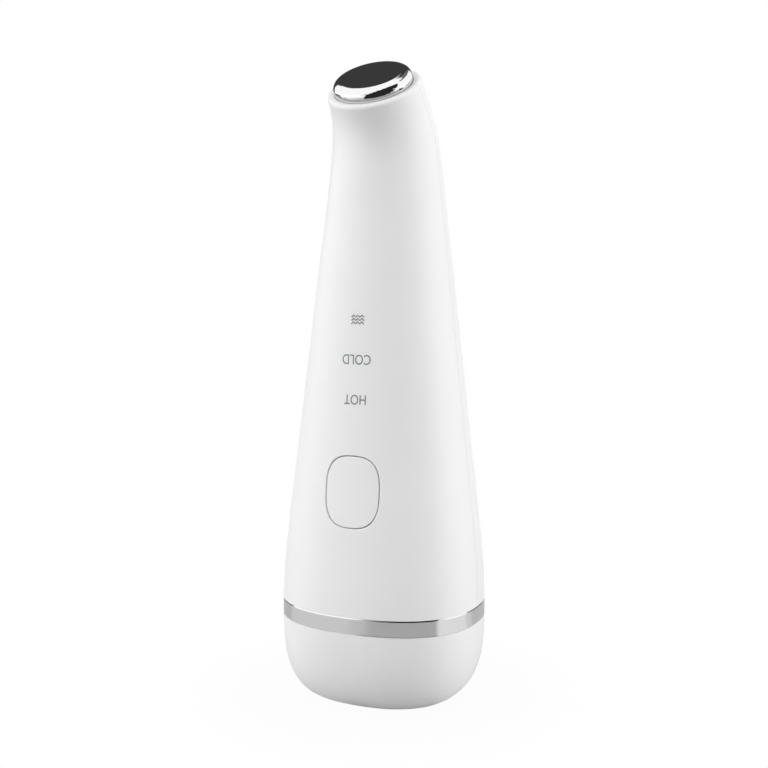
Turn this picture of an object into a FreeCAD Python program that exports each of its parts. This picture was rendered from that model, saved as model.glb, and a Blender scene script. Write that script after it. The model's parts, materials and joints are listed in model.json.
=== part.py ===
import FreeCAD, Part
import math
import os
import re
import Sketcher

# Hand-held hot and cold facial wand, standing on its base, in millimetres.
# The front, with the button, faces -Y; +X is to the right and +Z is up.
# The origin is the centre of the foot, on the surface that the wand stands on.

Vector = FreeCAD.Vector
X_AXIS = Vector(1, 0, 0)
Y_AXIS = Vector(0, 1, 0)
Z_AXIS = Vector(0, 0, 1)
ORIGIN = Vector(0, 0, 0)

# Driving dimensions. Widths of round pieces are diameters; angles are in degrees.
SIZES = {
    # outer form, from the base up
    "base_width": 50.0,
    "base_depth": 43.0,
    "section_power": 2.37,
    "cup_height": 20.4,
    "cup_flat_width": 25.5,
    "cup_drop_power": 2.68,
    "cup_round_power": 2.75,
    "band_height": 4.1,
    "taper_height": 106.3,
    "neck_width": 27.1,
    "neck_depth": 26.9,
    "lean_back": 1.6,
    "bend_radius": 26.2,
    "spine_bend": 45.1,
    "head_tilt": 30.0,
    "head_width": 22.5,
    "rim_round": 0.9,
    "wall": 2.0,
    # fits and cuts
    "seam_gap": 0.1,
    "band_gap": 0.05,
    "slide_gap": 0.3,
    "button_gap": 0.2,
    "fit_gap": 0.1,
    "overrun": 3.0,
    # base
    "band_wall": 1.1,
    "band_bevel_height": 0.3,
    "band_bevel_inset": 0.065,
    "spigot_wall": 1.2,
    "spigot_drop": 4.0,
    "spigot_root": 1.5,
    "cup_floor": 3.6,
    "foot_width": 21.0,
    "foot_depth": 18.0,
    "foot_thickness": 1.5,
    "foot_proud": 0.3,
    "leg_spread": 13.0,
    "leg_setback": 2.0,
    "leg_width": 5.6,
    "base_screw_width": 2.4,
    "base_screw_length": 8.0,
    "base_screw_head": 4.4,
    "base_screw_head_height": 1.3,
    # head
    "plate_width": 19.1,
    "plate_edge": 2.0,
    "plate_rise": 2.9,
    "plate_flange": 1.0,
    "plate_depth": 2.6,
    "plate_spigot": 15.6,
    "seal_thickness": 0.6,
    "ledge_thickness": 2.2,
    "cooler_side": 10.0,
    "ceramic": 0.7,
    "pellet_side": 1.0,
    "pellet_height": 1.4,
    "pellet_margin": 0.7,
    "pad_thickness": 0.4,
    "sink_width": 17.0,
    "sink_base": 2.4,
    "fin_length": 7.0,
    "fin_span": 9.4,
    "fin_thickness": 0.8,
    "fin_pitch": 2.0,
    "clamp_wall": 1.0,
    "clamp_spread": 13.0,
    "clamp_screw_width": 1.4,
    "clamp_head": 2.6,
    "clamp_head_height": 1.0,
    "clamp_bite": 1.8,
    "sensor_width": 1.4,
    "sensor_height": 1.0,
    "sensor_offset": 6.4,
    # button and switch
    "button_width": 13.5,
    "button_height": 16.8,
    "button_power": 2.8,
    "button_edge": 0.25,
    "button_rise": 29.7,
    "button_travel": 0.6,
    "flange_reach": 1.0,
    "flange_thickness": 0.9,
    "stem_width": 3.6,
    "stem_gap": 0.05,
    "switch_side": 6.0,
    "switch_height": 3.4,
    "switch_corner": 0.4,
    "plunger_width": 3.3,
    "plunger_rise": 1.3,
    "plunger_root": 0.5,
    # indicator lights
    "light_rise": 51.5,
    "light_pitch": 9.4,
    "light_well_width": 5.6,
    "light_well_height": 6.4,
    "shroud_width": 8.4,
    "shroud_margin": 1.2,
    "led_width": 2.8,
    "led_height": 3.5,
    "led_depth": 1.2,
    "diffuser_thickness": 1.0,
    # boards and chassis
    "board_setback": 9.6,
    "board_width": 18.0,
    "board_height": 67.0,
    "board_thickness": 1.2,
    "board_rise": 8.2,
    "board_corner": 1.5,
    "board_screw_spread": 13.2,
    "board_screw_inset": 3.5,
    "standoff_height": 1.8,
    "standoff_width": 4.6,
    "boss_width": 4.0,
    "screw_width": 1.8,
    "screw_head": 3.6,
    "screw_head_height": 1.3,
    "screw_bite": 2.3,
    "chip_side": 6.0,
    "chip_height": 0.9,
    "chip_rise": 40.4,
    "inductor_side": 5.0,
    "inductor_height": 2.6,
    "header_width": 6.5,
    "header_height": 4.6,
    "header_depth": 4.0,
    "header_rise": 19.0,
    "spine_thickness": 2.0,
    "spine_width": 20.0,
    "spine_neck_width": 9.0,
    "shelf_thickness": 2.0,
    "shelf_width": 20.0,
    "shelf_gap": 3.9,
    # battery
    "cell_width": 18.3,
    "cell_length": 50.0,
    "cell_rise": 17.2,
    "cell_gap": 0.2,
    "cell_edge": 0.8,
    "cradle_wall": 1.2,
    "cradle_height": 5.0,
    "cradle_wrap": 3.5,
    "cell_stop": 1.6,
    "tab_width": 6.0,
    "tab_thickness": 0.2,
    "tab_length": 12.0,
    # charging
    "charge_rise": 3.2,
    "charge_width": 16.0,
    "charge_gap": 1.9,
    "charge_front": 3.4,
    "charge_screw_spread": 11.0,
    "socket_width": 8.9,
    "socket_height": 3.2,
    "socket_depth": 7.3,
    "socket_wall": 0.35,
    "socket_back": 1.2,
    "socket_recess": 0.6,
    "tongue_width": 6.6,
    "tongue_thickness": 0.7,
    "tongue_length": 4.6,
    "port_gap": 0.5,
    # vibration motor
    "motor_width": 7.0,
    "motor_length": 12.0,
    "motor_rise": 87.5,
    "motor_neck_width": 3.0,
    "motor_neck_height": 0.8,
    "sleeve_wall": 1.5,
    "sleeve_height": 8.0,
    "sleeve_inset": 2.0,
    "bracket_wall": 1.5,
    "bracket_height": 6.0,
    "shaft_width": 1.5,
    "shaft_root": 4.0,
    "shaft_reach": 5.6,
    "shaft_gap": 0.15,
    "weight_width": 6.2,
    "weight_height": 3.6,
    "weight_hub": 3.0,
    "press_gap": 0.02,
}

# Places and sizes worked out from the driving dimensions.
# Depths are measured from the rim of the head along its axis, into the wand.
PLACES = {
    "cup_top": "foot_proud + cup_height",
    "band_top": "cup_top + band_height",
    "housing_low": "band_top + band_gap",
    "bend_start": "band_top + taper_height",
    "rim_y": "lean_back - bend_radius * (1 - cos(spine_bend))",
    "rim_z": "bend_start + bend_radius * sin(spine_bend)",
    "spigot_inset": "band_wall + fit_gap",
    "spigot_low": "cup_top - spigot_drop",
    "foot_top": "foot_thickness",
    "floor_top": "foot_proud + cup_floor",
    "base_head_top": "foot_top + base_screw_head_height + fit_gap",
    "seal_depth": "plate_flange + seal_thickness",
    "ledge_depth": "seal_depth + ledge_thickness",
    "cold_depth": "plate_depth + ceramic",
    "pellet_depth": "cold_depth + pellet_height",
    "hot_depth": "pellet_depth + ceramic",
    "sink_depth": "hot_depth + pad_thickness",
    "sink_end": "sink_depth + sink_base",
    "ledge_bore": "plate_spigot + fit_gap + fit_gap",
    "clamp_bore": "sink_width - clamp_wall - clamp_wall",
    "clamp_shaft": "sink_end - plate_depth + clamp_bite",
    "button_level": "band_top + button_rise",
    "flange_inset": "wall + fit_gap",
    "cap_inset": "flange_inset + flange_thickness",
    "switch_front": "board_setback + switch_height",
    "plunger_front": "switch_front + plunger_rise",
    "plunger_bore": "plunger_root + button_travel + fit_gap",
    "light_level": "band_top + light_rise",
    "shroud_low": "light_level - light_well_height / 2 - shroud_margin",
    "shroud_height": "light_pitch + light_pitch + light_well_height + shroud_margin + shroud_margin",
    "board_low": "band_top + board_rise",
    "board_top": "board_low + board_height",
    "screw_low": "board_low + board_screw_inset",
    "screw_high": "board_top - board_screw_inset",
    "board_back": "board_setback - board_thickness",
    "spine_front": "board_back - standoff_height",
    "spine_back": "spine_front - spine_thickness",
    "screw_shaft": "board_setback - spine_back + screw_bite",
    "shelf_depth": "base_depth / 2 - wall - shelf_gap",
    "charge_length": "base_depth / 2 - wall - charge_gap + charge_front",
    "charge_low": "band_top + charge_rise",
    "charge_top": "charge_low + board_thickness",
    "shelf_low": "charge_low - shelf_thickness",
    "cell_low": "band_top + cell_rise",
    "cell_top": "cell_low + cell_length",
    "cell_y": "cell_gap + cell_width / 2 - spine_back",
    "cell_stop_top": "cell_low - tab_thickness",
    "cradle_bore": "cell_width + cell_gap + cell_gap",
    "cradle_width": "cradle_bore + cradle_wall + cradle_wall",
    "socket_level": "charge_top + socket_height / 2",
    "socket_mouth": "base_depth / 2 - socket_recess",
    "motor_low": "band_top + motor_rise",
    "motor_top": "motor_low + motor_length",
    "sleeve_low": "motor_low + sleeve_inset",
    "sleeve_width": "motor_width + sleeve_wall + sleeve_wall",
    "bracket_bore": "sleeve_width + fit_gap + fit_gap",
    "bracket_width": "bracket_bore + bracket_wall + bracket_wall",
    "bracket_low": "sleeve_low + (sleeve_height - bracket_height) / 2",
    "bracket_top": "bracket_low + bracket_height",
    "shaft_bore": "shaft_width + shaft_gap + shaft_gap",
    "shaft_low": "motor_top + motor_neck_height - shaft_root",
    "weight_low": "motor_top + motor_neck_height + slide_gap + slide_gap",
}

# Shares along the straight taper, and how far the outline has gone from base to neck there.
TAPER_SHARES = ((0, 0), (0.10, 0.046), (0.30, 0.244), (0.55, 0.51), (0.80, 0.78), (1, 1))
# Shares of the head's bend, and how far the outline has gone from neck to head there.
BEND_SHARES = ((0.40, 0.414), (0.72, 0.775), (0.90, 0.888), (1, 1))
# Shares of the cup's depth at which its outline is drawn, closer where it turns under.
CUP_SHARES = (0, 0.15, 0.35, 0.55, 0.72, 0.84, 0.93, 0.98, 1)
ROUND_POWER = 2
SECTION_POINT_COUNT = 28
# The button's outline has tighter corners, so it is drawn through more points.
BUTTON_POINT_COUNT = 32
# Where on its outline a section starts, as a share of a turn from +X: at the back, clear of every opening.
SECTION_START_SHARE = 3 / 8
FIN_COUNT = 7
PELLET_ROWS = 5
LIGHT_COUNT = 3

doc = FreeCAD.newDocument("facial_wand")
dims = doc.addObject("Spreadsheet::Sheet", "dims")
places = doc.addObject("Spreadsheet::Sheet", "places")


def bound(text):
    """Expression text in which each named size is read from its sheet."""
    def owner(match):
        word = match.group()
        if word in SIZES:
            return "dims." + word
        if word in PLACES:
            return "places." + word
        return word
    return re.sub(r"[a-z][a-z_]*", owner, text)


def fill_sheets():
    for row, (alias, value) in enumerate(SIZES.items(), start=1):
        dims.set(f"A{row}", alias)
        dims.set(f"B{row}", str(value))
        dims.setAlias(f"B{row}", alias)
    doc.recompute()
    for row, (alias, text) in enumerate(PLACES.items(), start=1):
        places.set(f"A{row}", alias)
        places.set(f"B{row}", "=" + bound(text))
        places.setAlias(f"B{row}", alias)
        doc.recompute([places])


def size(alias):
    """Present value of a named size or place."""
    sheet = dims if alias in SIZES else places
    return float(sheet.get(alias))


fill_sheets()


# Objects of the document

def bind(obj, **expressions):
    for path, text in expressions.items():
        obj.setExpression(path, bound(text))
    return obj


def put(obj, x="0", y="0", z="0"):
    for axis, text in (("x", x), ("y", y), ("z", z)):
        obj.setExpression("Placement.Base." + axis, bound(text))
    return obj


def block(name, length, width, height, x, y, z):
    """Box centred on x, reaching back from y and up from z."""
    box = doc.addObject("Part::Box", name)
    bind(box, Length=length, Width=width, Height=height)
    return put(box, f"{x} - ({length}) / 2", y, z)


def rod(name, width, length, x, y, z, axis=None):
    """Cylinder that starts at a point and runs up, or along the given axis."""
    cylinder = doc.addObject("Part::Cylinder", name)
    bind(cylinder, Radius=f"({width}) / 2", Height=length)
    if axis:
        cylinder.Placement = FreeCAD.Placement(ORIGIN, FreeCAD.Rotation(Z_AXIS, axis))
    return put(cylinder, x, y, z)


def joined(name, *pieces):
    fuse = doc.addObject("Part::MultiFuse", name)
    fuse.Shapes = list(pieces)
    fuse.Refine = True
    return fuse


def cut(name, base, *tools):
    result = doc.addObject("Part::Cut", name)
    result.Base = base
    result.Tool = tools[0] if len(tools) == 1 else joined(name + "_tools", *tools)
    result.Refine = True
    return result


def feature(name, shape):
    obj = doc.addObject("Part::Feature", name)
    obj.Shape = shape
    return obj


def group(name, shapes):
    return feature(name, Part.makeCompound(shapes))


# Sketched bodies

def sketch_on(body, name, role):
    sketch = body.newObject("Sketcher::SketchObject", name)
    plane = next(item for item in body.Origin.OriginFeatures if item.Role == role)
    sketch.AttachmentSupport = [(plane, "")]
    sketch.MapMode = "FlatFace"
    return sketch


def outline(sketch, corners):
    """Closed run of lines whose corners are given as expressions."""
    first = sketch.GeometryCount
    count = len(corners)
    unit = [Vector(math.cos(math.tau * i / count), math.sin(math.tau * i / count), 0) for i in range(count)]
    for i in range(count):
        sketch.addGeometry(Part.LineSegment(unit[i], unit[(i + 1) % count]), False)
    for i in range(count):
        line = first + i
        sketch.addConstraint(Sketcher.Constraint("Coincident", line, 2, first + (i + 1) % count, 1))
        for kind, text, start in zip(("DistanceX", "DistanceY"), corners[i], unit[i]):
            index = sketch.addConstraint(Sketcher.Constraint(kind, -1, 1, line, 1, start))
            sketch.setExpression(f"Constraints[{index}]", bound(text))


def rectangle(sketch, width, height, x="0", y="0"):
    left, right = f"{x} - ({width}) / 2", f"{x} + ({width}) / 2"
    low, high = f"{y} - ({height}) / 2", f"{y} + ({height}) / 2"
    outline(sketch, ((left, low), (right, low), (right, high), (left, high)))


def circle(sketch, width, x="0", y="0"):
    index = sketch.addGeometry(Part.Circle(ORIGIN, Z_AXIS, 1), False)
    for kind, text in (("DistanceX", x), ("DistanceY", y)):
        place = sketch.addConstraint(Sketcher.Constraint(kind, -1, 1, index, 3, 0.0))
        sketch.setExpression(f"Constraints[{place}]", bound(text))
    radius = sketch.addConstraint(Sketcher.Constraint("Radius", index, 1.0))
    sketch.setExpression(f"Constraints[{radius}]", bound(f"({width}) / 2"))


def pad(body, sketch, length, name, reverse=False):
    feature_pad = body.newObject("PartDesign::Pad", name)
    feature_pad.Profile = sketch
    feature_pad.Reversed = reverse
    return bind(feature_pad, Length=length)


def turned(name, corners):
    """Body of revolution about its own Z axis, from radius and height pairs."""
    body = doc.addObject("PartDesign::Body", name)
    sketch = sketch_on(body, name + "_profile", "XZ_Plane")
    outline(sketch, corners)
    turn = body.newObject("PartDesign::Revolution", name + "_turn")
    turn.Profile = sketch
    turn.ReferenceAxis = (sketch, ["V_Axis"])
    turn.Angle = 360
    return body


def washer(name, outer, inner, thickness):
    """Flat ring that grows up from its own XY plane."""
    body = doc.addObject("PartDesign::Body", name)
    sketch = sketch_on(body, name + "_ring", "XY_Plane")
    circle(sketch, outer)
    circle(sketch, inner)
    pad(body, sketch, thickness, name + "_pad")
    return body


def round_edges(body, name, radius, chosen):
    """Fillet on those edges of the body's tip that the given test picks."""
    doc.recompute()
    base = body.Tip
    names = [f"Edge{i}" for i, edge in enumerate(base.Shape.Edges, start=1) if chosen(edge)]
    fillet = body.newObject("PartDesign::Fillet", name)
    fillet.Base = (base, names)
    bind(fillet, Radius=radius)
    return fillet


def is_along(axis):
    def test(edge):
        if not isinstance(edge.Curve, Part.Line):
            return False
        return abs(edge.Curve.Direction.dot(axis)) > 0.999
    return test


# Outer form

def section(half_width, half_depth, power, place, count=SECTION_POINT_COUNT):
    """Closed smooth oval between an ellipse and a rectangle, drawn in the plane of a placement."""
    points = []
    for step in range(count):
        angle = math.tau * (step / count + SECTION_START_SHARE)
        across, along = math.cos(angle), math.sin(angle)
        reach = (abs(across) ** power + abs(along) ** power) ** (-1 / power)
        points.append(place.multVec(Vector(half_width * across * reach, half_depth * along * reach, 0)))
    steady = [step / count for step in range(count + 1)]
    curve = Part.BSplineCurve()
    curve.interpolate(Points=points, PeriodicFlag=True, Parameters=steady)
    return Part.Wire([curve.toShape()])


def level(z, y=0):
    return FreeCAD.Placement(Vector(0, y, z), FreeCAD.Rotation())


def blend(start, end, share):
    return start + (end - start) * share


def skin(sections, steps):
    """Closed solid with a smooth skin through sections that lie at the given steps along a path."""
    curves = [wire.Edges[0].Curve for wire in sections]
    lines = []
    for column in zip(*[curve.getPoles() for curve in curves]):
        line = Part.BSplineCurve()
        line.interpolate(Points=list(column), Parameters=steps)
        lines.append(line)
    surface = Part.BSplineSurface()
    surface.buildFromPolesMultsKnots([line.getPoles() for line in lines], curves[0].getMultiplicities(),
                                     lines[0].getMultiplicities(), curves[0].getKnots(), lines[0].getKnots(),
                                     True, False, curves[0].Degree, lines[0].Degree)
    side = surface.toShape()
    caps = [Part.Face(Part.Wire([edge])) for edge in side.Edges if edge.isClosed()]
    shell = Part.makeShell([side] + caps)
    shell.sewShape()
    return Part.makeSolid(shell.Shells[0])


def spine_point(share):
    """Point on the bend of the wand's spine, at a share of the way from the neck to the rim."""
    turn = math.radians(size("spine_bend") * share)
    y = size("lean_back") - size("bend_radius") * (1 - math.cos(turn))
    return Vector(0, y, size("bend_start") + size("bend_radius") * math.sin(turn))


def body_form(inset):
    """Body from the band to the rim of the head as a closed solid, drawn in by an inset."""
    base = (size("base_width") / 2, size("base_depth") / 2)
    neck = (size("neck_width") / 2, size("neck_depth") / 2)
    head = (size("head_width") / 2, size("head_width") / 2)
    wires, steps = [], []
    for rise, taper in TAPER_SHARES:
        halves = [blend(a, b, taper) - inset for a, b in zip(base, neck)]
        power = blend(size("section_power"), ROUND_POWER, rise)
        steps.append(size("taper_height") * rise)
        place = level(size("band_top") + steps[-1], size("lean_back") * rise)
        wires.append(section(*halves, power, place))
    for turn, taper in BEND_SHARES:
        halves = [blend(a, b, taper) - inset for a, b in zip(neck, head)]
        place = FreeCAD.Placement(spine_point(turn), FreeCAD.Rotation(X_AXIS, size("head_tilt") * turn))
        steps.append(size("taper_height") + size("bend_radius") * math.radians(size("spine_bend") * turn))
        wires.append(section(*halves, ROUND_POWER, place))
    return skin(wires, steps)


def cup_form(inset, floor):
    """Rounded base cup as a closed solid, drawn in by an inset and raised to its floor."""
    height = size("cup_height") - floor
    half_width, half_depth = size("base_width") / 2 - inset, size("base_depth") / 2 - inset
    flat = (size("cup_flat_width") / 2 - inset) / half_width
    wires, steps = [], []
    before = None
    for drop in CUP_SHARES:
        turn_under = (1 - drop ** size("cup_drop_power")) ** (1 / size("cup_round_power"))
        scale = blend(flat, 1, turn_under)
        z = size("cup_top") - height * drop
        wires.append(section(half_width * scale, half_depth * scale, size("section_power"), level(z)))
        spot = Vector(half_width * scale, 0, z)
        steps.append(steps[-1] + spot.distanceToPoint(before) if steps else 0)
        before = spot
    return skin(wires, steps)


def base_prism(inset, low, high):
    """Straight column on the outline of the base, drawn in by an inset."""
    wire = section(size("base_width") / 2 - inset, size("base_depth") / 2 - inset,
                   size("section_power"), level(low))
    return Part.Face(wire).extrude(Vector(0, 0, high - low))


def head_place(depth):
    """Placement on the head's axis at a depth below the rim, with +Z pointing out of the head."""
    turn = FreeCAD.Rotation(X_AXIS, size("head_tilt"))
    rim = Vector(0, size("rim_y"), size("rim_z"))
    return FreeCAD.Placement(rim + turn.multVec(Vector(0, 0, -depth)), turn)


def head_rod(width, deep, shallow):
    """Column on the head's axis between two depths."""
    cylinder = Part.makeCylinder(width / 2, deep - shallow)
    cylinder.Placement = head_place(deep)
    return cylinder


def front_block():
    """Everything in front of the parting surface, which follows the wand's spine into the head."""
    low = size("spigot_low") - size("overrun")
    start = Vector(0, 0, size("band_top"))
    knee, middle, rim = [spine_point(share) for share in (0, 1 / 2, 1)]
    tip = head_place(-size("head_width")).Base
    front_top = Vector(0, -size("base_depth"), tip.z)
    front_low = Vector(0, -size("base_depth"), low)
    foot = Vector(0, 0, low)
    edges = [Part.LineSegment(foot, start), Part.LineSegment(start, knee), Part.Arc(knee, middle, rim)]
    corners = (rim, tip, front_top, front_low, foot)
    edges += [Part.LineSegment(a, b) for a, b in zip(corners, corners[1:])]
    face = Part.Face(Part.Wire([edge.toShape() for edge in edges]))
    face.translate(Vector(-size("base_width"), 0, 0))
    return face.extrude(Vector(2 * size("base_width"), 0, 0))


def front_prism(half_width, half_height, power, z):
    """Column along Y on a rounded outline, from the middle of the wand out past its front."""
    place = FreeCAD.Placement(Vector(0, 0, z), FreeCAD.Rotation(X_AXIS, 90))
    wire = section(half_width, half_height, power, place, BUTTON_POINT_COUNT)
    return Part.Face(wire).extrude(Vector(0, -size("base_depth"), 0))


def screw_spots():
    half = size("board_screw_spread") / 2
    return [(x, z) for x in (-half, half) for z in (size("screw_low"), size("screw_high"))]


def along_y(width, front, length, x, z):
    """Column along +Y that starts a given distance in front of the axis."""
    return Part.makeCylinder(width / 2, length, Vector(x, -front, z), Y_AXIS)


def plain_screw(shank, shank_length, head, head_height):
    """Pan-head screw with its head above its own XY plane and its shank below."""
    shank_solid = Part.makeCylinder(shank / 2, shank_length, Vector(0, 0, -shank_length))
    head_solid = Part.makeCylinder(head / 2, head_height)
    crown = max(head_solid.Edges, key=lambda edge: edge.BoundBox.ZMin)
    return head_solid.makeFillet(head_height / 2, [crown]).fuse(shank_solid).removeSplitter()


# Casing

def housing_shell():
    """Hollow body with its head socket, band spigot, and the openings that both halves share."""
    outer = body_form(0)
    rim = [edge for edge in outer.Edges if edge.isClosed() and edge.BoundBox.ZMax > size("rim_z")
           and edge.BoundBox.ZMin > size("bend_start")]
    outer = outer.makeFillet(size("rim_round"), rim)
    ledge = head_rod(2 * size("head_width"), size("ledge_depth"), -size("overrun"))
    cavity = body_form(size("wall")).cut(ledge)
    corner = Vector(-size("base_width"), -size("base_depth"), size("housing_low") - size("overrun"))
    below = Part.makeBox(2 * size("base_width"), 2 * size("base_depth"), size("overrun"), corner)
    shell = outer.cut(cavity).cut(below)
    spigot_top = size("housing_low") + size("spigot_root")
    spigot = base_prism(size("spigot_inset"), size("spigot_low"), spigot_top)
    spigot_bore = base_prism(size("spigot_inset") + size("spigot_wall"), size("spigot_low") - size("overrun"),
                             spigot_top + size("overrun"))
    shell = shell.fuse(spigot.cut(spigot_bore))
    seat = head_rod(size("plate_width") + 2 * size("fit_gap"), size("seal_depth"), -size("overrun"))
    bore = head_rod(size("ledge_bore"), size("ledge_depth") + size("overrun"), 0)
    return shell.cut(seat).cut(bore)


def port_cutter():
    half_height = size("socket_height") / 2 + size("port_gap")
    half_width = size("socket_width") / 2 + size("port_gap")
    back = size("socket_mouth") - size("overrun") + size("base_depth")
    return stadium(2 * half_width, 2 * half_height, size("base_depth"), back, size("socket_level"))


def soften(solid, width):
    """Solid with a small round on the foremost closed edge of the given width."""
    closed = [edge for edge in solid.Edges if edge.isClosed()]
    rims = [edge for edge in closed if abs(edge.BoundBox.XLength - width) < size("fit_gap")]
    foremost = min(rims, key=lambda edge: edge.BoundBox.YMin)
    return solid.makeFillet(size("button_edge"), [foremost])


def make_housings():
    shell = housing_shell()
    front_side = front_block()
    front = shell.common(front_side)
    setback, gap = size("board_setback"), size("button_gap")
    bosses = [along_y(size("boss_width"), size("base_depth"), size("base_depth") - setback, x, z)
              for x, z in screw_spots()]
    bosses = Part.makeCompound(bosses).common(body_form(size("wall") / 2))
    pilot_width = size("screw_width") + 2 * size("press_gap")
    pilot_end = setback + size("screw_bite") + size("fit_gap")
    pilots = [along_y(pilot_width, pilot_end, setback, x, z) for x, z in screw_spots()]
    hole = front_prism(size("button_width") / 2 + gap, size("button_height") / 2 + gap,
                       size("button_power"), size("button_level"))
    front = front.fuse(bosses.Solids).cut(Part.makeCompound(pilots)).cut(hole).removeSplitter()
    feature("front_housing", soften(front, size("button_width") + 2 * gap))
    front_side.translate(Vector(0, size("seam_gap"), 0))
    feature("rear_housing", shell.cut(front_side).cut(port_cutter()))


def make_band():
    low, high = size("cup_top") + size("press_gap"), size("band_top")
    bevel, draw = size("band_bevel_height"), size("band_bevel_inset")
    half_width, half_depth = size("base_width") / 2, size("base_depth") / 2
    wires = [section(half_width - inset, half_depth - inset, size("section_power"), level(z))
             for inset, z in ((draw, low), (0, low + bevel), (0, high - bevel), (draw, high))]
    ring = Part.makeLoft(wires, True, True)
    bore = base_prism(size("band_wall"), low - size("overrun"), high + size("overrun"))
    feature("trim_band", ring.cut(bore))


def base_screw_spots():
    half = size("leg_spread") / 2
    return [Vector(x, -size("leg_setback"), 0) for x in (-half, half)]


def make_base():
    cup = cup_form(0, 0).cut(cup_form(size("wall"), size("cup_floor")))
    gap = size("fit_gap")
    rebate = base_prism(size("band_wall"), size("spigot_low") - gap, size("cup_top") + size("overrun"))
    recess = foot_outline(gap, -size("overrun"), size("foot_top"))
    cup = cup.cut(rebate).cut(recess)
    for spot in base_screw_spots():
        head_hole = Part.makeCylinder(size("base_screw_head") / 2 + gap, size("base_head_top"), spot)
        shank_hole = Part.makeCylinder(size("base_screw_width") / 2 + gap, size("cup_height"), spot)
        cup = cup.cut(head_hole).cut(shank_hole)
    feature("base_cup", cup)
    feature("foot_pad", foot_outline(0, 0, size("foot_top")))
    screw = plain_screw(size("base_screw_width"), size("base_screw_length"), size("base_screw_head"),
                        size("base_screw_head_height"))
    screw.rotate(ORIGIN, X_AXIS, 180)
    up = Vector(0, 0, size("base_head_top"))
    group("base_screws", [screw.translated(spot + up) for spot in base_screw_spots()])


def foot_outline(margin, low, high):
    half_width, half_depth = size("foot_width") / 2 + margin, size("foot_depth") / 2 + margin
    wire = section(half_width, half_depth, size("section_power"), level(low))
    return Part.Face(wire).extrude(Vector(0, 0, high - low))


# Head

def make_plate():
    body = turned("treatment_plate", (
        ("0", "plate_rise"), ("plate_width / 2", "plate_rise"), ("plate_width / 2", "-plate_flange"),
        ("plate_spigot / 2", "-plate_flange"), ("plate_spigot / 2", "-plate_depth"), ("0", "-plate_depth")))

    def is_crown(edge):
        return edge.isClosed() and abs(edge.BoundBox.ZMin - size("plate_rise")) < size("press_gap")
    round_edges(body, "treatment_plate_crown", "plate_edge", is_crown)
    sketch = sketch_on(body, "treatment_plate_holes", "XY_Plane")
    for side in ("clamp_spread / 2", "-clamp_spread / 2"):
        circle(sketch, "clamp_screw_width + press_gap + press_gap", "0", side)
    doc.recompute()
    holes = body.newObject("PartDesign::Pocket", "treatment_plate_pocket")
    holes.Profile = sketch
    holes.Type = 1
    body.Placement = head_place(0)


def make_cooler():
    layers = (("cold_ceramic", "cold_depth", "ceramic"), ("hot_ceramic", "hot_depth", "ceramic"),
              ("thermal_pad", "sink_depth", "pad_thickness"))
    for name, depth, thickness in layers:
        body = doc.addObject("PartDesign::Body", name)
        sketch = sketch_on(body, name + "_outline", "XY_Plane")
        rectangle(sketch, "cooler_side", "cooler_side")
        pad(body, sketch, thickness, name + "_pad")
        body.Placement = head_place(size(depth))
    side = size("pellet_side")
    pitch = (size("cooler_side") - side - 2 * size("pellet_margin")) / (PELLET_ROWS - 1)
    first = -pitch * (PELLET_ROWS - 1) / 2 - side / 2
    pellets = []
    for row in range(PELLET_ROWS):
        for column in range(PELLET_ROWS):
            corner = Vector(first + pitch * column, first + pitch * row, 0)
            pellets.append(Part.makeBox(side, side, size("pellet_height"), corner))
    group("thermo_pellets", pellets).Placement = head_place(size("pellet_depth"))


def make_head_stack():
    washer("plate_seal", "plate_width", "plate_spigot + fit_gap + fit_gap", "seal_thickness")
    doc.plate_seal.Placement = head_place(size("seal_depth"))
    washer("clamp_ring", "sink_width", "clamp_bore", "sink_depth - ledge_depth")
    doc.clamp_ring.Placement = head_place(size("sink_depth"))
    spot, height = Vector(size("sensor_offset"), 0, 0), size("sensor_height")
    bead = Part.makeCylinder(size("sensor_width") / 2, height, spot)
    feature("temperature_sensor", bead).Placement = head_place(size("plate_depth") + height)


def make_heat_sink():
    body = doc.addObject("PartDesign::Body", "heat_sink")
    disc = sketch_on(body, "heat_sink_disc", "XY_Plane")
    circle(disc, "sink_width")
    for side in ("clamp_spread / 2", "-clamp_spread / 2"):
        circle(disc, "clamp_screw_width + fit_gap + fit_gap", "0", side)
    pad(body, disc, "sink_base", "heat_sink_base")
    fin = sketch_on(body, "heat_sink_fin", "XY_Plane")
    rectangle(fin, "fin_thickness", "fin_span", f"-fin_pitch * {FIN_COUNT - 1} / 2")
    first = pad(body, fin, "fin_length", "heat_sink_first_fin", reverse=True)
    doc.recompute()
    fins = body.newObject("PartDesign::LinearPattern", "heat_sink_fins")
    fins.Originals = [first]
    fins.Direction = (fin, ["H_Axis"])
    bind(fins, Length=f"fin_pitch * {FIN_COUNT - 1}")
    fins.Occurrences = FIN_COUNT
    body.Tip = fins
    body.Placement = head_place(size("sink_end"))
    screw = plain_screw(size("clamp_screw_width"), size("clamp_shaft"), size("clamp_head"),
                        size("clamp_head_height"))
    screw.rotate(ORIGIN, X_AXIS, 180)
    half = size("clamp_spread") / 2
    screws = [screw.translated(Vector(0, y, 0)) for y in (-half, half)]
    group("clamp_screws", screws).Placement = head_place(size("sink_end"))


# Button and lights

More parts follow.
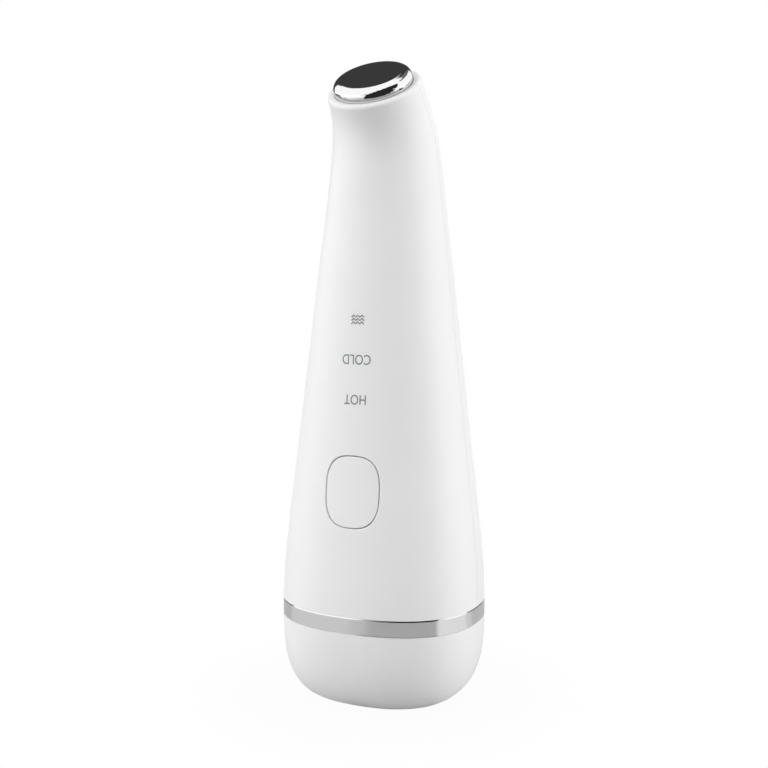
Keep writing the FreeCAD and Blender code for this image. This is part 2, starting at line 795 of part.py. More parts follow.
def make_button():
    half_width, half_height = size("button_width") / 2, size("button_height") / 2
    power, z = size("button_power"), size("button_level")
    behind = body_form(size("cap_inset"))
    cap = front_prism(half_width, half_height, power, z).common(body_form(0)).cut(behind)
    reach = size("button_gap") + size("flange_reach")
    flange = front_prism(half_width + reach, half_height + reach, power, z)
    flange = flange.common(body_form(size("flange_inset"))).cut(behind)
    far, stem_end = size("base_depth"), size("plunger_front") + size("stem_gap")
    stem = along_y(size("stem_width"), far, far - stem_end, 0, z)
    stem = stem.common(body_form(size("flange_inset")))
    clear = along_y(size("plunger_width") + 2 * size("slide_gap"), stem_end, far, 0, z)
    button = cap.fuse([flange, stem]).cut(clear).removeSplitter()
    feature("mode_button", soften(button, 2 * half_width))


def make_switch():
    body = doc.addObject("PartDesign::Body", "mode_switch")
    base = sketch_on(body, "mode_switch_outline", "XZ_Plane")
    rectangle(base, "switch_side", "switch_side")
    pad(body, base, "switch_height", "mode_switch_body")
    round_edges(body, "mode_switch_corners", "switch_corner", is_along(Y_AXIS))
    top = sketch_on(body, "mode_switch_bore", "XZ_Plane")
    bind(top, **{"AttachmentOffset.Base.z": "switch_height"})
    circle(top, "plunger_width + fit_gap + fit_gap")
    doc.recompute()
    bore = body.newObject("PartDesign::Pocket", "mode_switch_pocket")
    bore.Profile = top
    bind(bore, Length="plunger_bore")
    put(body, "0", "-board_setback", "button_level")
    rod("switch_plunger", "plunger_width", "plunger_rise + plunger_root", "0", "plunger_root - switch_front",
        "button_level", -Y_AXIS)


def light_levels():
    return [size("light_level") + size("light_pitch") * i for i in range(LIGHT_COUNT)]


def box_ahead(width, height, x, z, front, back):
    """Box centred on x and z between two distances in front of the axis."""
    return Part.makeBox(width, front - back, height, Vector(x - width / 2, -front, z - height / 2))


def make_lights():
    back, far = size("board_setback"), size("base_depth")
    inside = body_form(size("flange_inset"))
    well = (size("light_well_width"), size("light_well_height"))
    middle = size("shroud_low") + size("shroud_height") / 2
    shroud = box_ahead(size("shroud_width"), size("shroud_height"), 0, middle, far, back).common(inside)
    for z in light_levels():
        shroud = shroud.cut(box_ahead(*well, 0, z, far, back - size("overrun")))
    feature("light_shroud", shroud)
    margin = 2 * size("fit_gap")
    layer = inside.cut(body_form(size("flange_inset") + size("diffuser_thickness")))
    panes = [box_ahead(well[0] - margin, well[1] - margin, 0, z, far, back) for z in light_levels()]
    group("light_diffusers", [pane.common(layer).Solids[0] for pane in panes])
    led, led_front = (size("led_width"), size("led_height")), back + size("led_depth")
    group("indicator_lights", [box_ahead(*led, 0, z, led_front, back) for z in light_levels()])


# Boards

def make_main_board():
    body = doc.addObject("PartDesign::Body", "main_board")
    sketch = sketch_on(body, "main_board_outline", "XZ_Plane")
    rectangle(sketch, "board_width", "board_height", "0", "board_height / 2")
    for x in ("board_screw_spread / 2", "-board_screw_spread / 2"):
        for z in ("board_screw_inset", "board_height - board_screw_inset"):
            circle(sketch, "screw_width + fit_gap + fit_gap", x, z)
    pad(body, sketch, "board_thickness", "main_board_pad")
    round_edges(body, "main_board_corners", "board_corner", is_along(Y_AXIS))
    put(body, "0", "-board_back", "board_low")


def make_board_pieces():
    z = "band_top + chip_rise"
    block("control_chip", "chip_side", "chip_height", "chip_side", "0", "-board_setback - chip_height", z)
    z = "band_top + header_rise"
    block("power_inductor", "inductor_side", "inductor_height", "inductor_side", "-board_width / 4",
          "-board_setback - inductor_height", z)
    shell = block("header_shell", "header_width", "header_depth", "header_height", "board_width / 4",
                  "-board_setback - header_depth", z)
    pocket = block("header_pocket", "header_width - socket_wall - socket_wall",
                   "header_depth - socket_back + overrun", "header_height - socket_wall - socket_wall",
                   "board_width / 4", "-board_setback - header_depth - overrun", z + " + socket_wall")
    cut("board_connector", shell, pocket)


def make_charging():
    body = doc.addObject("PartDesign::Body", "charge_board")
    sketch = sketch_on(body, "charge_board_outline", "XY_Plane")
    rectangle(sketch, "charge_width", "charge_length", "0", "charge_length / 2")
    for x in ("charge_screw_spread / 2", "-charge_screw_spread / 2"):
        circle(sketch, "screw_width + fit_gap + fit_gap", x, "charge_front")
    pad(body, sketch, "board_thickness", "charge_board_pad")
    put(body, "0", "-charge_front", "charge_low")
    half = size("charge_screw_spread") / 2
    shank = size("board_thickness") + size("shelf_thickness")
    screw = plain_screw(size("screw_width"), shank, size("screw_head"), size("screw_head_height"))
    group("charge_board_screws", [screw.translated(Vector(x, 0, size("charge_top"))) for x in (-half, half)])


def stadium(width, height, depth, mouth, z):
    """Flat-sided tube section with round ends, running back from its mouth along -Y."""
    straight = (width - height) / 2
    tube = Part.makeBox(2 * straight, depth, height, Vector(-straight, mouth - depth, z - height / 2))
    for x in (-straight, straight):
        tube = tube.fuse(Part.makeCylinder(height / 2, depth, Vector(x, mouth - depth, z), Y_AXIS))
    return tube.removeSplitter()


def make_socket():
    mouth, z, thin = size("socket_mouth"), size("socket_level"), 2 * size("socket_wall")
    shell = stadium(size("socket_width"), size("socket_height"), size("socket_depth"), mouth, z)
    hollow = stadium(size("socket_width") - thin, size("socket_height") - thin,
                     size("socket_depth") - size("socket_back") + size("overrun"), mouth + size("overrun"), z)
    root = mouth - size("socket_depth") + size("socket_back") / 2
    width, thickness = size("tongue_width"), size("tongue_thickness")
    tongue = Part.makeBox(width, size("tongue_length") + size("socket_back") / 2, thickness,
                          Vector(-width / 2, root, z - thickness / 2))
    feature("charging_socket", shell.cut(hollow).fuse(tongue).removeSplitter())


# Chassis, battery and motor

def make_chassis():
    spine_height = "board_top - shelf_low"
    spine = block("chassis_spine", "spine_width", "spine_thickness", spine_height,
                  "0", "-spine_front", "shelf_low")
    neck = block("chassis_neck", "spine_neck_width", "spine_thickness", "bracket_top - board_top + overrun",
                 "0", "-spine_front", "board_top - overrun")
    shelf = block("chassis_shelf", "shelf_width", "shelf_depth + spine_front", "shelf_thickness",
                  "0", "-spine_front", "shelf_low")
    stop = block("chassis_cell_stop", "tab_length", "cell_y + spine_front", "cell_stop", "0", "-spine_front",
                 "cell_stop_top - cell_stop")
    solids = [spine, neck, shelf, stop]
    bracket = rod("chassis_bracket", "bracket_width", "bracket_height", "0", "lean_back", "bracket_low")
    arm = block("chassis_arm", "spine_neck_width", "lean_back + spine_front", "bracket_height",
                "0", "-spine_front", "bracket_low")
    solids += [bracket, arm, cradle_rib("low", "cell_low + cradle_height"),
               cradle_rib("high", "cell_top - cradle_height - cradle_height")]
    holes = [rod("chassis_motor_bore", "bracket_bore", "bracket_height + overrun + overrun",
                 "0", "lean_back", "bracket_low - overrun")]
    for side, sign in (("right", ""), ("left", "-")):
        x = sign + "leg_spread / 2"
        solids.append(rod(f"chassis_{side}_leg", "leg_width", "shelf_low - floor_top",
                          x, "-leg_setback", "floor_top"))
        holes.append(rod(f"chassis_{side}_leg_pilot", "base_screw_width + press_gap + press_gap",
                         "base_screw_length", x, "-leg_setback", "base_head_top"))
        x = sign + "charge_screw_spread / 2"
        holes.append(rod(f"chassis_{side}_charge_pilot", "screw_width + press_gap + press_gap",
                         "shelf_thickness + overrun", x, "0", "shelf_low"))
        x = sign + "board_screw_spread / 2"
        for end, z in (("low", "screw_low"), ("high", "screw_high")):
            solids.append(rod(f"chassis_{side}_{end}_standoff", "standoff_width",
                              "standoff_height + spine_thickness / 2", x, "-board_back", z, Y_AXIS))
            holes.append(rod(f"chassis_{side}_{end}_hole", "screw_width + fit_gap + fit_gap",
                             "standoff_height + spine_thickness + overrun + overrun",
                             x, "-board_back - overrun", z, Y_AXIS))
    cut("chassis", joined("chassis_solid", *solids), *holes)


def cradle_rib(end, z):
    """Clip ring round the battery, open at the back so that the cell snaps in."""
    ring = rod(f"chassis_{end}_ring", "cradle_width", "cradle_height", "0", "cell_y", z)
    bore = rod(f"chassis_{end}_ring_bore", "cradle_bore", "cradle_height", "0", "cell_y", z)
    mouth = block(f"chassis_{end}_ring_mouth", "cradle_width", "cradle_width", "cradle_height",
                  "0", "cell_y + cradle_wrap", z)
    return cut(f"chassis_{end}_cradle", ring, bore, mouth)


def make_screws():
    screw = plain_screw(size("screw_width"), size("screw_shaft"), size("screw_head"),
                        size("screw_head_height"))
    screw.rotate(ORIGIN, X_AXIS, -90)
    group("chassis_screws", [screw.translated(Vector(x, -size("spine_back"), z)) for x, z in screw_spots()])


def make_battery():
    body = turned("battery_cell", (("0", "0"), ("cell_width / 2", "0"), ("cell_width / 2", "cell_length"),
                                   ("0", "cell_length")))
    round_edges(body, "battery_cell_crimp", "cell_edge", lambda edge: isinstance(edge.Curve, Part.Circle))
    put(body, "0", "cell_y", "cell_low")
    tab = Part.makeBox(size("tab_width"), size("tab_length"), size("tab_thickness"),
                       Vector(-size("tab_width") / 2, size("cell_y") - size("tab_length") / 2, 0))
    levels = (size("cell_low") - size("tab_thickness"), size("cell_top"))
    group("battery_tabs", [tab.translated(Vector(0, 0, z)) for z in levels])


def make_motor():
    body = turned("vibration_motor", (
        ("0", "0"), ("motor_width / 2", "0"), ("motor_width / 2", "motor_length"),
        ("motor_neck_width / 2", "motor_length"),
        ("motor_neck_width / 2", "motor_length + motor_neck_height"),
        ("shaft_bore / 2", "motor_length + motor_neck_height"),
        ("shaft_bore / 2", "motor_length + motor_neck_height - shaft_root - fit_gap"),
        ("0", "motor_length + motor_neck_height - shaft_root - fit_gap")))
    put(body, "0", "lean_back", "motor_low")
    washer("motor_sleeve", "sleeve_width", "motor_width + press_gap + press_gap", "sleeve_height")
    put(doc.motor_sleeve, "0", "lean_back", "sleeve_low")
    rod("motor_shaft", "shaft_width", "shaft_root + shaft_reach", "0", "lean_back", "shaft_low")
    half_disc = rod("weight_disc", "weight_width", "weight_height", "0", "0", "0")
    half_disc.Angle = 180
    hub = rod("weight_hub_rod", "weight_hub", "weight_height", "0", "0", "0")
    bore = rod("weight_bore", "shaft_width + press_gap + press_gap", "weight_height", "0", "0", "0")
    put(cut("eccentric_weight", joined("weight_solid", half_disc, hub), bore), "0", "lean_back", "weight_low")


NODES = (
    "front_housing", "rear_housing", "trim_band", "base_cup", "foot_pad", "base_screws",
    "treatment_plate", "plate_seal", "cold_ceramic", "thermo_pellets", "hot_ceramic", "thermal_pad",
    "heat_sink", "clamp_ring", "clamp_screws", "temperature_sensor",
    "mode_button", "mode_switch", "switch_plunger", "light_shroud", "light_diffusers", "indicator_lights",
    "main_board", "control_chip", "power_inductor", "board_connector", "chassis", "chassis_screws",
    "battery_cell", "battery_tabs", "charge_board", "charge_board_screws", "charging_socket",
    "vibration_motor", "motor_sleeve", "motor_shaft", "eccentric_weight",
)

make_housings()
make_band()
make_base()
make_plate()
make_cooler()
make_head_stack()
make_heat_sink()
make_button()
make_switch()
make_lights()
make_main_board()
make_board_pieces()
make_charging()
make_socket()
make_chassis()
make_screws()
make_battery()
make_motor()
doc.recompute()

for obj in doc.Objects:
    if "Invalid" in obj.State or "Error" in obj.State:
        raise RuntimeError(f"{obj.Label} failed to build: {obj.State}")
for name in NODES:
    shape = doc.getObject(name).Shape
    if shape.isNull() or not shape.isValid() or not shape.Solids:
        raise RuntimeError(f"{name} has no valid solid")

os.makedirs("parts", exist_ok=True)
for name in NODES:
    doc.getObject(name).Shape.exportStep(f"parts/{name}.step")
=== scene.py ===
"""Finishes, printed signs, light and camera for the facial wand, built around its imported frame."""
import json
import math

import bmesh
import bpy
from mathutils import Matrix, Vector
from mathutils.bvhtree import BVHTree


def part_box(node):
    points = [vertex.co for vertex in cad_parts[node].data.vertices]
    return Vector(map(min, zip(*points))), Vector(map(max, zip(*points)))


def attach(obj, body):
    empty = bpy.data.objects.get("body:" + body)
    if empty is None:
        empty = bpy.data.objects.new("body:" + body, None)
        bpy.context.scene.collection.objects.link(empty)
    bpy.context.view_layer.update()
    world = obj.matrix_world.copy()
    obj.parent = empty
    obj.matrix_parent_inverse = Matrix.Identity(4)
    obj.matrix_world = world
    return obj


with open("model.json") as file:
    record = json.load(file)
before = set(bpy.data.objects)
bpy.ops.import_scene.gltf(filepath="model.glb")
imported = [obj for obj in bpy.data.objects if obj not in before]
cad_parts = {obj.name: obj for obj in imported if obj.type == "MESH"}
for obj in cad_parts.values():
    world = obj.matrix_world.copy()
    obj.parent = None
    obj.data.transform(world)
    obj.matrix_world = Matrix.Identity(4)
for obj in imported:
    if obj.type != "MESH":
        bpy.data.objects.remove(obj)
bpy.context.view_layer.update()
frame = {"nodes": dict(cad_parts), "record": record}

MM = 0.001
WHITE = (1.0, 1.0, 1.0, 1.0)


# Nodes

def grey(value):
    return (value, value, value, 1.0)


def feed(tree, source, inlet):
    """Give an inlet another node's result or a fixed value."""
    if isinstance(source, bpy.types.NodeSocket):
        tree.links.new(source, inlet)
    else:
        inlet.default_value = source


def mixed(tree, share, first, second):
    mix = tree.nodes.new("ShaderNodeMix")
    mix.data_type = "RGBA"
    for name, source in (("Factor", share), ("A", first), ("B", second)):
        feed(tree, source, next(inlet for inlet in mix.inputs if inlet.name == name and inlet.enabled))
    return next(outlet for outlet in mix.outputs if outlet.enabled)


def worked_out(tree, operation, first, second):
    step = tree.nodes.new("ShaderNodeMath")
    step.operation = operation
    feed(tree, first, step.inputs[0])
    feed(tree, second, step.inputs[1])
    return step.outputs["Value"]


def spread(tree, measure, start, end, low=0.0, high=1.0, ease="LINEAR"):
    """Level that goes from low to high as a measure goes from start to end."""
    step = tree.nodes.new("ShaderNodeMapRange")
    step.interpolation_type = ease
    for name, value in (("From Min", start), ("From Max", end), ("To Min", low), ("To Max", high)):
        step.inputs[name].default_value = value
    tree.links.new(measure, step.inputs["Value"])
    return step.outputs["Result"]


# Finishes

class Finish:
    """One material, with the few node steps that the wand's finishes share."""

    def __init__(self, name):
        self.material = bpy.data.materials.new(name)
        self.material.use_nodes = True
        self.tree = self.material.node_tree
        self.shader = self.tree.nodes["Principled BSDF"]
        self.place = self.tree.nodes.new("ShaderNodeTexCoord").outputs["Object"]

    def node(self, kind, **values):
        made = self.tree.nodes.new("ShaderNode" + kind)
        for name, value in values.items():
            setattr(made, name, value)
        return made

    def join(self, start, end):
        self.tree.links.new(start, end)

    def set(self, **values):
        for name, value in values.items():
            self.shader.inputs[name.replace("_", " ")].default_value = value
        return self

    def stretched(self, scale):
        mapping = self.node("Mapping")
        mapping.inputs["Scale"].default_value = scale
        self.join(self.place, mapping.inputs["Vector"])
        return mapping.outputs["Vector"]

    def noise(self, scale, detail=2.0, vector=None):
        texture = self.node("TexNoise")
        texture.inputs["Scale"].default_value = scale
        texture.inputs["Detail"].default_value = detail
        self.join(vector or self.place, texture.inputs["Vector"])
        return texture.outputs["Fac"]

    def cells(self, scale):
        texture = self.node("TexVoronoi")
        texture.inputs["Scale"].default_value = scale
        self.join(self.place, texture.inputs["Vector"])
        return texture.outputs["Distance"]

    def ramp(self, source, low, high, start=0.3, end=0.7):
        ramp = self.node("ValToRGB")
        first, last = ramp.color_ramp.elements
        first.position, first.color = start, low
        last.position, last.color = end, high
        self.join(source, ramp.inputs["Fac"])
        return ramp.outputs["Color"]

    def colours(self, *ramp_values):
        self.join(self.ramp(*ramp_values), self.shader.inputs["Base Color"])

    def roughness(self, source, low, high):
        self.join(spread(self.tree, source, 0.0, 1.0, low, high), self.shader.inputs["Roughness"])

    def bump(self, source, strength, depth):
        bump = self.node("Bump")
        bump.inputs["Strength"].default_value = strength
        bump.inputs["Distance"].default_value = depth
        self.join(source, bump.inputs["Height"])
        self.join(bump.outputs["Normal"], self.shader.inputs["Normal"])


def satin_white():
    finish = Finish("satin_white_shell")
    tint = finish.noise(scale=60.0, detail=3.0)
    finish.colours(tint, (0.885, 0.886, 0.888, 1.0), (0.905, 0.906, 0.908, 1.0))
    finish.roughness(finish.noise(scale=900.0), low=0.36, high=0.44)
    finish.bump(finish.noise(scale=6500.0), strength=0.05, depth=0.02 * MM)
    return finish.material


def bright_band():
    finish = Finish("bright_metal_band").set(Metallic=1.0)
    fine = finish.noise(scale=900.0, vector=finish.stretched((1.0, 1.0, 40.0)))
    finish.colours(fine, grey(0.76), grey(0.82))
    finish.roughness(fine, low=0.10, high=0.16)
    finish.bump(fine, strength=0.03, depth=0.01 * MM)
    return finish.material


# The way the plate faces, and how much its surface faces that way where the satin side, greyed with
# painted shade, ends and where the full polish starts.
HEAD_TILT = math.radians(30)
PLATE_AXIS = (0.0, -math.sin(HEAD_TILT), math.cos(HEAD_TILT))
SHADED_SATIN_FACING, POLISHED_FACING = 0.03, 0.09


def mirror_metal():
    """Polished face and rim over a satin side whose colour is darkened to grey as painted shade."""
    finish = Finish("mirror_polished_plate").set(Metallic=1.0)
    polished = finish.ramp(finish.noise(scale=260.0, detail=3.0), grey(0.92), grey(0.95))
    facing = finish.node("VectorMath", operation="DOT_PRODUCT")
    facing.inputs[1].default_value = PLATE_AXIS
    finish.join(finish.node("NewGeometry").outputs["Normal"], facing.inputs[0])
    satin_side_painted_shade = spread(finish.tree, facing.outputs["Value"], SHADED_SATIN_FACING, POLISHED_FACING,
                  low=1.0, high=0.0, ease="SMOOTHSTEP")
    # The side's grey 0.74 is painted shade for the dark gap it mirrors; its higher roughness is real
    # satin.
    finish.join(mixed(finish.tree, satin_side_painted_shade, polished, grey(0.74)), finish.shader.inputs["Base Color"])
    finish.roughness(satin_side_painted_shade, low=0.02, high=0.12)
    return finish.material


def moulded(name, low, high, rough, grain_scale, grain_strength):
    finish = Finish(name)
    finish.colours(finish.noise(scale=180.0, detail=3.0), low, high)
    finish.roughness(finish.noise(scale=1200.0), rough - 0.05, rough + 0.05)
    finish.bump(finish.noise(grain_scale, detail=3.0), grain_strength, depth=0.03 * MM)
    return finish.material


def metal(name, low, high, rough, stretch=(1.0, 1.0, 1.0)):
    finish = Finish(name).set(Metallic=1.0)
    streaks = finish.noise(scale=1400.0, detail=3.0, vector=finish.stretched(stretch))
    finish.colours(streaks, low, high)
    finish.roughness(streaks, rough - 0.08, rough + 0.08)
    finish.bump(streaks, strength=0.06, depth=0.01 * MM)
    return finish.material


BOARD_GREENS = (0.010, 0.085, 0.030, 1.0), (0.020, 0.140, 0.050, 1.0)


def circuit_board():
    finish = Finish("green_board")
    finish.colours(finish.cells(scale=900.0), *BOARD_GREENS, 0.2, 0.6)
    finish.roughness(finish.noise(scale=600.0), low=0.28, high=0.40)
    return finish.material


def milky_pane():
    finish = Finish("milky_pane").set(Transmission_Weight=0.35, IOR=1.49)
    finish.colours(finish.noise(scale=400.0), grey(0.86), grey(0.92))
    finish.roughness(finish.noise(scale=900.0), low=0.45, high=0.55)
    return finish.material


PAD_BLUES = (0.30, 0.37, 0.45, 1.0), (0.36, 0.43, 0.51, 1.0)
WRAP_BLUES = (0.020, 0.080, 0.240, 1.0), (0.030, 0.105, 0.290, 1.0)
FINISHES = {
    "white_shell": satin_white(),
    "trim_metal": bright_band(),
    "mirror_plate": mirror_metal(),
    "grey_silicone": moulded("grey_silicone", grey(0.23), grey(0.27), 0.7, 3000.0, 0.25),
    "thermal_pad": moulded("soft_thermal_pad", *PAD_BLUES, 0.8, 2500.0, 0.3),
    "steel": metal("plain_steel", grey(0.42), grey(0.52), 0.28),
    "dense_metal": metal("sintered_metal", grey(0.16), grey(0.21), 0.45),
    "ceramic": moulded("white_ceramic", grey(0.78), grey(0.84), 0.5, 4000.0, 0.1),
    "pellets": metal("pellet_metal", grey(0.20), grey(0.28), 0.4),
    "bare_aluminium": metal("bare_aluminium", grey(0.55), grey(0.64), 0.32, (40.0, 1.0, 1.0)),
    "black_plastic": moulded("black_plastic", grey(0.012), grey(0.020), 0.45, 3500.0, 0.15),
    "grey_plastic": moulded("grey_plastic", grey(0.20), grey(0.24), 0.5, 3500.0, 0.15),
    "white_plastic": moulded("white_plastic", grey(0.76), grey(0.82), 0.45, 3500.0, 0.1),
    "clear_plastic": milky_pane(),
    "board": circuit_board(),
    "cell_wrap": moulded("cell_wrap", *WRAP_BLUES, 0.3, 900.0, 0.05),
}


def dress_nodes():
    slots = {row["node"]: row["material_slot"] for row in frame["record"]["subparts"]}
    for name, node in frame["nodes"].items():
        node.data.materials.clear()
        node.data.materials.append(FINISHES[slots[name]])


# Printed signs

SIGN_INK = moulded("printed_grey_ink", grey(0.20), grey(0.25), 0.55, 5000.0, 0.1)
HOT_LEVEL, COLD_LEVEL, WAVE_LEVEL = 76.3 * MM, 85.7 * MM, 95.1 * MM
INK_DEPTH = 0.03 * MM
INK_MERGE = 0.001 * MM
LETTER_SIZE = 3.3 * MM
LETTER_SWELL = 0.005 * MM
WORD_WIDTH = 0.82
WAVE_LINE = 0.13 * MM
WAVE_STEP, WAVE_RISE, WAVE_PITCH = 0.53 * MM, 0.5 * MM, 0.78 * MM
WAVE_ROWS, WAVE_STEPS = 3, 6
BEFORE_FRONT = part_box("front_housing")[0].y - 10 * MM
front_wall = BVHTree.FromObject(frame["nodes"]["front_housing"], bpy.context.evaluated_depsgraph_get())


def front_at(x, z):
    """Depth of the front wall's outer face."""
    return front_wall.ray_cast(Vector((x, BEFORE_FRONT, z)), Vector((0, 1, 0)))[0].y


def added(name, data):
    """New object in the scene."""
    made = bpy.data.objects.new(name, data)
    bpy.context.scene.collection.objects.link(made)
    return made


def print_sign(name, shape, level):
    """Lay a flat drawing, made in its own XY plane, upside down on the front wall."""
    bpy.context.view_layer.update()
    mesh = bpy.data.meshes.new_from_object(shape)
    mesh.transform(shape.matrix_world)
    bpy.data.objects.remove(shape)
    form = bmesh.new()
    form.from_mesh(mesh)
    bmesh.ops.remove_doubles(form, verts=form.verts, dist=INK_MERGE)
    middle = [(min(v.co[i] for v in form.verts) + max(v.co[i] for v in form.verts)) / 2 for i in range(2)]
    for vert in form.verts:
        across, along, proud = vert.co.x - middle[0], vert.co.y - middle[1], vert.co.z
        x, z = -across, level - along
        vert.co = (x, front_at(x, z) - proud, z)
    bmesh.ops.recalc_face_normals(form, faces=form.faces)
    form.to_mesh(mesh)
    form.free()
    mesh.materials.clear()
    mesh.materials.append(SIGN_INK)
    sign = added(name, mesh)
    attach(sign, "case")


def word(text):
    curve = bpy.data.curves.new("word", "FONT")
    curve.body = text
    curve.size = LETTER_SIZE
    curve.offset = LETTER_SWELL
    curve.extrude = INK_DEPTH
    shape = added("word", curve)
    shape.scale.x = WORD_WIDTH
    return shape


def waves():
    curve = bpy.data.curves.new("waves", "CURVE")
    curve.dimensions = "3D"
    curve.bevel_depth = WAVE_LINE
    for row in range(WAVE_ROWS):
        line = curve.splines.new("POLY")
        line.points.add(WAVE_STEPS)
        for i, point in enumerate(line.points):
            point.co = (i * WAVE_STEP, ((i + 1) % 2) * WAVE_RISE + row * WAVE_PITCH, 0.0, 1.0)
    return added("waves", curve)


# Stage

FLOOR_RADIUS = 130 * MM
FLOOR_SIDES = 96
FLOOR_FADE = (26 * MM, 60 * MM)
FLOOR_WHITE_SHARE = 0.965
# Light and shade painted on the table, which only metal mirrors: levels out to a distance from the wand,
# then round it, each with the degrees from the front at which it ends. They run into each other over a
# share of a turn, and over a distance.
PAINTED_TABLE_SHADE = (
    (60 * MM, ((-86, 0.56), (-10, 0.70), (68, 0.36), (120, 0.88), (132, 0.72), (180, 0.57))),
    (FLOOR_RADIUS, ((-86, 0.56), (-18, 0.70), (-8, 0.60), (68, 0.48), (120, 0.88), (132, 0.72),
                    (180, 0.57))),
)
TABLE_SOFT, TABLE_BLUR = 0.006, 4 * MM
# The studio by rows, from the table up to the ceiling: the row's upper edge in degrees, then its grey
# levels round the wand. What metal mirrors is a white room with a dark camera side, a dark panel behind,
# and a low strip of light on each side. Levels run into each other over a share of a turn, and over a
# height on a unit sphere.
DARK, PANEL, STREAK, STRIP = 0.02, 0.042, 0.14, 1.25
MIRRORED = (
    (-42, ((180, 0.46),)),
    (-37, ((-9, 0.46), (48, DARK), (180, 0.46))),
    (-26, ((-65, 0.46), (-9, 0.60), (66, DARK), (180, 0.46))),
    (-15, ((-130, 0.70), (-70, 0.46), (-7, 0.85), (77, DARK), (105, 0.46), (150, 1.0), (180, 0.70))),
    (-6, ((-130, 0.70), (-86, 0.30), (-5, 1.0), (83, DARK), (102, 1.0), (121, DARK), (142, 1.0),
          (168, 0.20), (180, 0.70))),
    (3, ((-130, 0.70), (-88, 0.20), (-3, STRIP), (86, DARK), (133, STRIP), (158, 0.20), (180, 0.70))),
    (7, ((-150, 0.70), (-119, PANEL), (-17, STRIP), (74, DARK), (140, STRIP), (158, PANEL), (180, 0.70))),
    (10, ((-150, 0.70), (-119, PANEL), (-8, STRIP), (86, DARK), (150, STRIP), (180, 0.70))),
    (18, ((-150, 0.70), (-119, PANEL), (5, 1.0), (86, DARK), (174, 1.0), (180, PANEL))),
    (27, ((-119, PANEL), (11, 1.0), (86, DARK), (176, 1.0), (180, PANEL))),
    (36, ((-119, PANEL), (19, 1.0), (85, DARK), (176, 1.0), (180, STREAK))),
    (43, ((-122, PANEL), (32, 1.0), (84, DARK), (174, 1.0), (180, STREAK))),
    (48, ((-126, PANEL), (45, 1.0), (82, DARK), (164, 1.0), (180, STREAK))),
    (52, ((-135, PANEL), (142, 1.0), (180, STREAK))),
    (62, ((-148, PANEL), (98, 1.0), (180, STREAK))),
    (68, ((-156, PANEL), (128, 1.0), (180, STREAK))),
    (74, ((-166, PANEL), (150, 1.0), (180, STREAK))),
    (90, ((180, 1.0),)),
)
MIRRORED_SOFT, MIRRORED_BLUR = 0.006, 0.015
# What lights the object: a strip of light on each side, a dark front, a dim back and table, and a bright
# ceiling.
LIGHTING = (
    (-12, ((180, 0.55),)),
    (55, ((-70, 0.60), (-38, 3.7), (-15, 0.65), (8, 0.35), (42, 0.16), (64, 0.40), (80, 0.70),
          (110, 3.8), (180, 0.60))),
    (90, ((180, 1.10),)),
)
LIGHTING_SOFT, LIGHTING_BLUR = 0.02, 0.06
CAMERA_PLACE = (0.12559, -0.28746, 0.11476)
CAMERA_DIP, CAMERA_TURN = math.radians(6.65), math.radians(23.6)
CAMERA_LENS, CAMERA_SENSOR = 59.89, 36.0
CAMERA_NEAR = 0.01


def ray_share(tree, *kinds):
    """1 for rays of any of the given kinds."""
    path = tree.nodes.new("ShaderNodeLightPath")
    share = path.outputs[kinds[0]]
    for kind in kinds[1:]:
        share = worked_out(tree, "MAXIMUM", share, path.outputs[kind])
    return share


def turn_round(tree, split):
    """Share of a turn round the wand, half at the front."""
    ahead = worked_out(tree, "MULTIPLY", split.outputs["Y"], -1.0)
    angle = worked_out(tree, "ARCTAN2", split.outputs["X"], ahead)
    return spread(tree, angle, -math.pi, math.pi)


def level_round(tree, turn, stops, soft):
    """Grey level as it changes round the wand."""
    ramp = tree.nodes.new("ShaderNodeValToRGB")
    elements = ramp.color_ramp.elements
    elements.remove(elements[-1])
    elements[0].position, elements[0].color = 0.0, grey(stops[0][1])
    for (end, level), (_, following) in zip(stops, stops[1:]):
        place = end / 360 + 0.5
        elements.new(place - soft).color = grey(level)
        elements.new(place + soft).color = grey(following)
    tree.links.new(turn, ramp.inputs["Fac"])
    return ramp.outputs["Color"]


def stacked(tree, turn, measure, rows, soft, blur):
    """Rows of levels, one after another as a measure grows past each row's edge."""
    level = level_round(tree, turn, rows[0][1], soft)
    for (edge, _), (_, stops) in zip(rows, rows[1:]):
        share = spread(tree, measure, edge - blur, edge + blur, ease="SMOOTHSTEP")
        level = mixed(tree, share, level, level_round(tree, turn, stops, soft))
    return level


def by_height(rows):
    """Rows with their edges as heights on a unit sphere."""
    return [(math.sin(math.radians(edge)), stops) for edge, stops in rows]


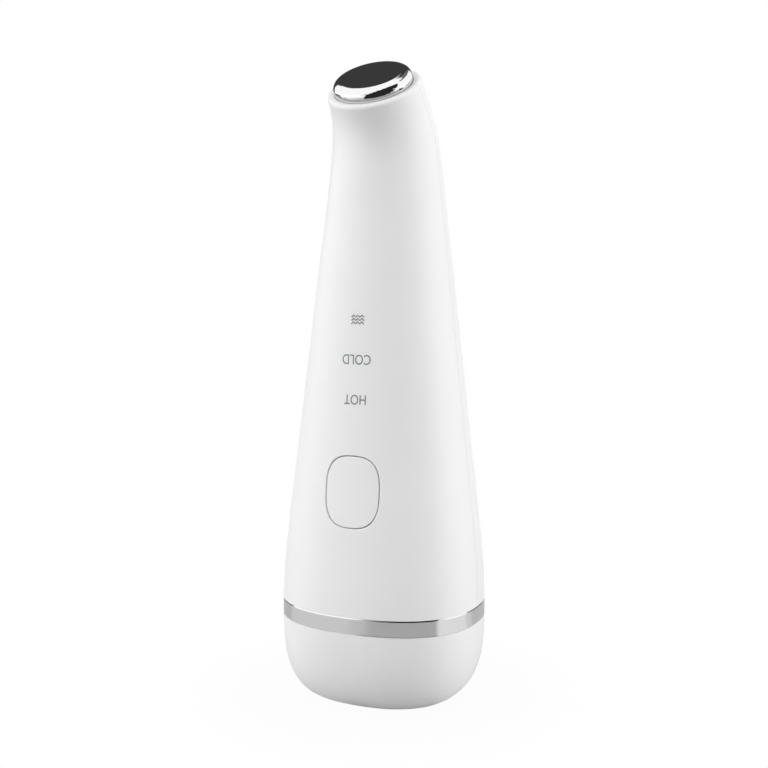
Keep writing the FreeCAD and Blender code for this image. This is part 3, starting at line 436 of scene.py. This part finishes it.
def pale_floor():
    """Matt floor that the camera sees as near white and that metal sees as light and shade painted round
    the wand.
    """
    finish = Finish("pale_floor").set(Base_Color=grey(0.48), Roughness=0.9, Specular_IOR_Level=0.0)
    tree = finish.tree
    reach = finish.node("VectorMath", operation="LENGTH")
    finish.join(finish.place, reach.inputs[0])
    distance = reach.outputs["Value"]
    whiteness = spread(tree, distance, *FLOOR_FADE, low=FLOOR_WHITE_SHARE, ease="SMOOTHSTEP")
    seen = worked_out(tree, "MULTIPLY", whiteness, ray_share(tree, "Is Camera Ray"))
    split = finish.node("SeparateXYZ")
    finish.join(finish.place, split.inputs["Vector"])
    # Painted light and shade on the table, glowing only for metal's reflections.
    painted_table_shade = stacked(tree, turn_round(tree, split), distance, PAINTED_TABLE_SHADE, TABLE_SOFT, TABLE_BLUR)
    glow, mirror = finish.node("Emission"), finish.node("Emission")
    finish.join(painted_table_shade, mirror.inputs["Color"])
    mirrored = ray_share(tree, "Is Glossy Ray", "Is Transmission Ray")
    surface = finish.shader.outputs["BSDF"]
    for share, light in ((seen, glow), (mirrored, mirror)):
        mix = finish.node("MixShader")
        finish.join(share, mix.inputs["Fac"])
        finish.join(surface, mix.inputs[1])
        finish.join(light.outputs["Emission"], mix.inputs[2])
        surface = mix.outputs["Shader"]
    finish.join(surface, tree.nodes["Material Output"].inputs["Surface"])
    return finish.material


def stage_floor():
    """Round floor under the wand. Its rim fades into the white around it."""
    form = bmesh.new()
    bmesh.ops.create_circle(form, cap_ends=True, segments=FLOOR_SIDES, radius=FLOOR_RADIUS)
    mesh = bpy.data.meshes.new("floor")
    form.to_mesh(mesh)
    form.free()
    mesh.materials.append(pale_floor())
    floor = added("floor", mesh)


def studio():
    """White for the camera, one set of levels for what metal mirrors and one for what lights the wand."""
    world = bpy.data.worlds.new("studio")
    bpy.context.scene.world = world
    world.use_nodes = True
    tree = world.node_tree
    split = tree.nodes.new("ShaderNodeSeparateXYZ")
    tree.links.new(tree.nodes.new("ShaderNodeTexCoord").outputs["Generated"], split.inputs["Vector"])
    turn, height = turn_round(tree, split), split.outputs["Z"]
    lighting = stacked(tree, turn, height, by_height(LIGHTING), LIGHTING_SOFT, LIGHTING_BLUR)
    mirrored = stacked(tree, turn, height, by_height(MIRRORED), MIRRORED_SOFT, MIRRORED_BLUR)
    shown = mixed(tree, ray_share(tree, "Is Camera Ray"), mirrored, WHITE)
    seen = ray_share(tree, "Is Camera Ray", "Is Glossy Ray", "Is Transmission Ray")
    tree.links.new(mixed(tree, seen, lighting, shown), tree.nodes["Background"].inputs["Color"])


def place_camera():
    lens = bpy.data.cameras.new("camera")
    lens.sensor_width = CAMERA_SENSOR
    lens.lens = CAMERA_LENS
    lens.clip_start = CAMERA_NEAR
    camera = added("camera", lens)
    camera.location = CAMERA_PLACE
    camera.rotation_euler = (math.pi / 2 - CAMERA_DIP, 0.0, CAMERA_TURN)
    bpy.context.scene.camera = camera


dress_nodes()
print_sign("hot_sign", word("HOT"), HOT_LEVEL)
print_sign("cold_sign", word("COLD"), COLD_LEVEL)
print_sign("wave_sign", waves(), WAVE_LEVEL)
stage_floor()
studio()
place_camera()
bpy.context.scene.view_settings.view_transform = "Standard"
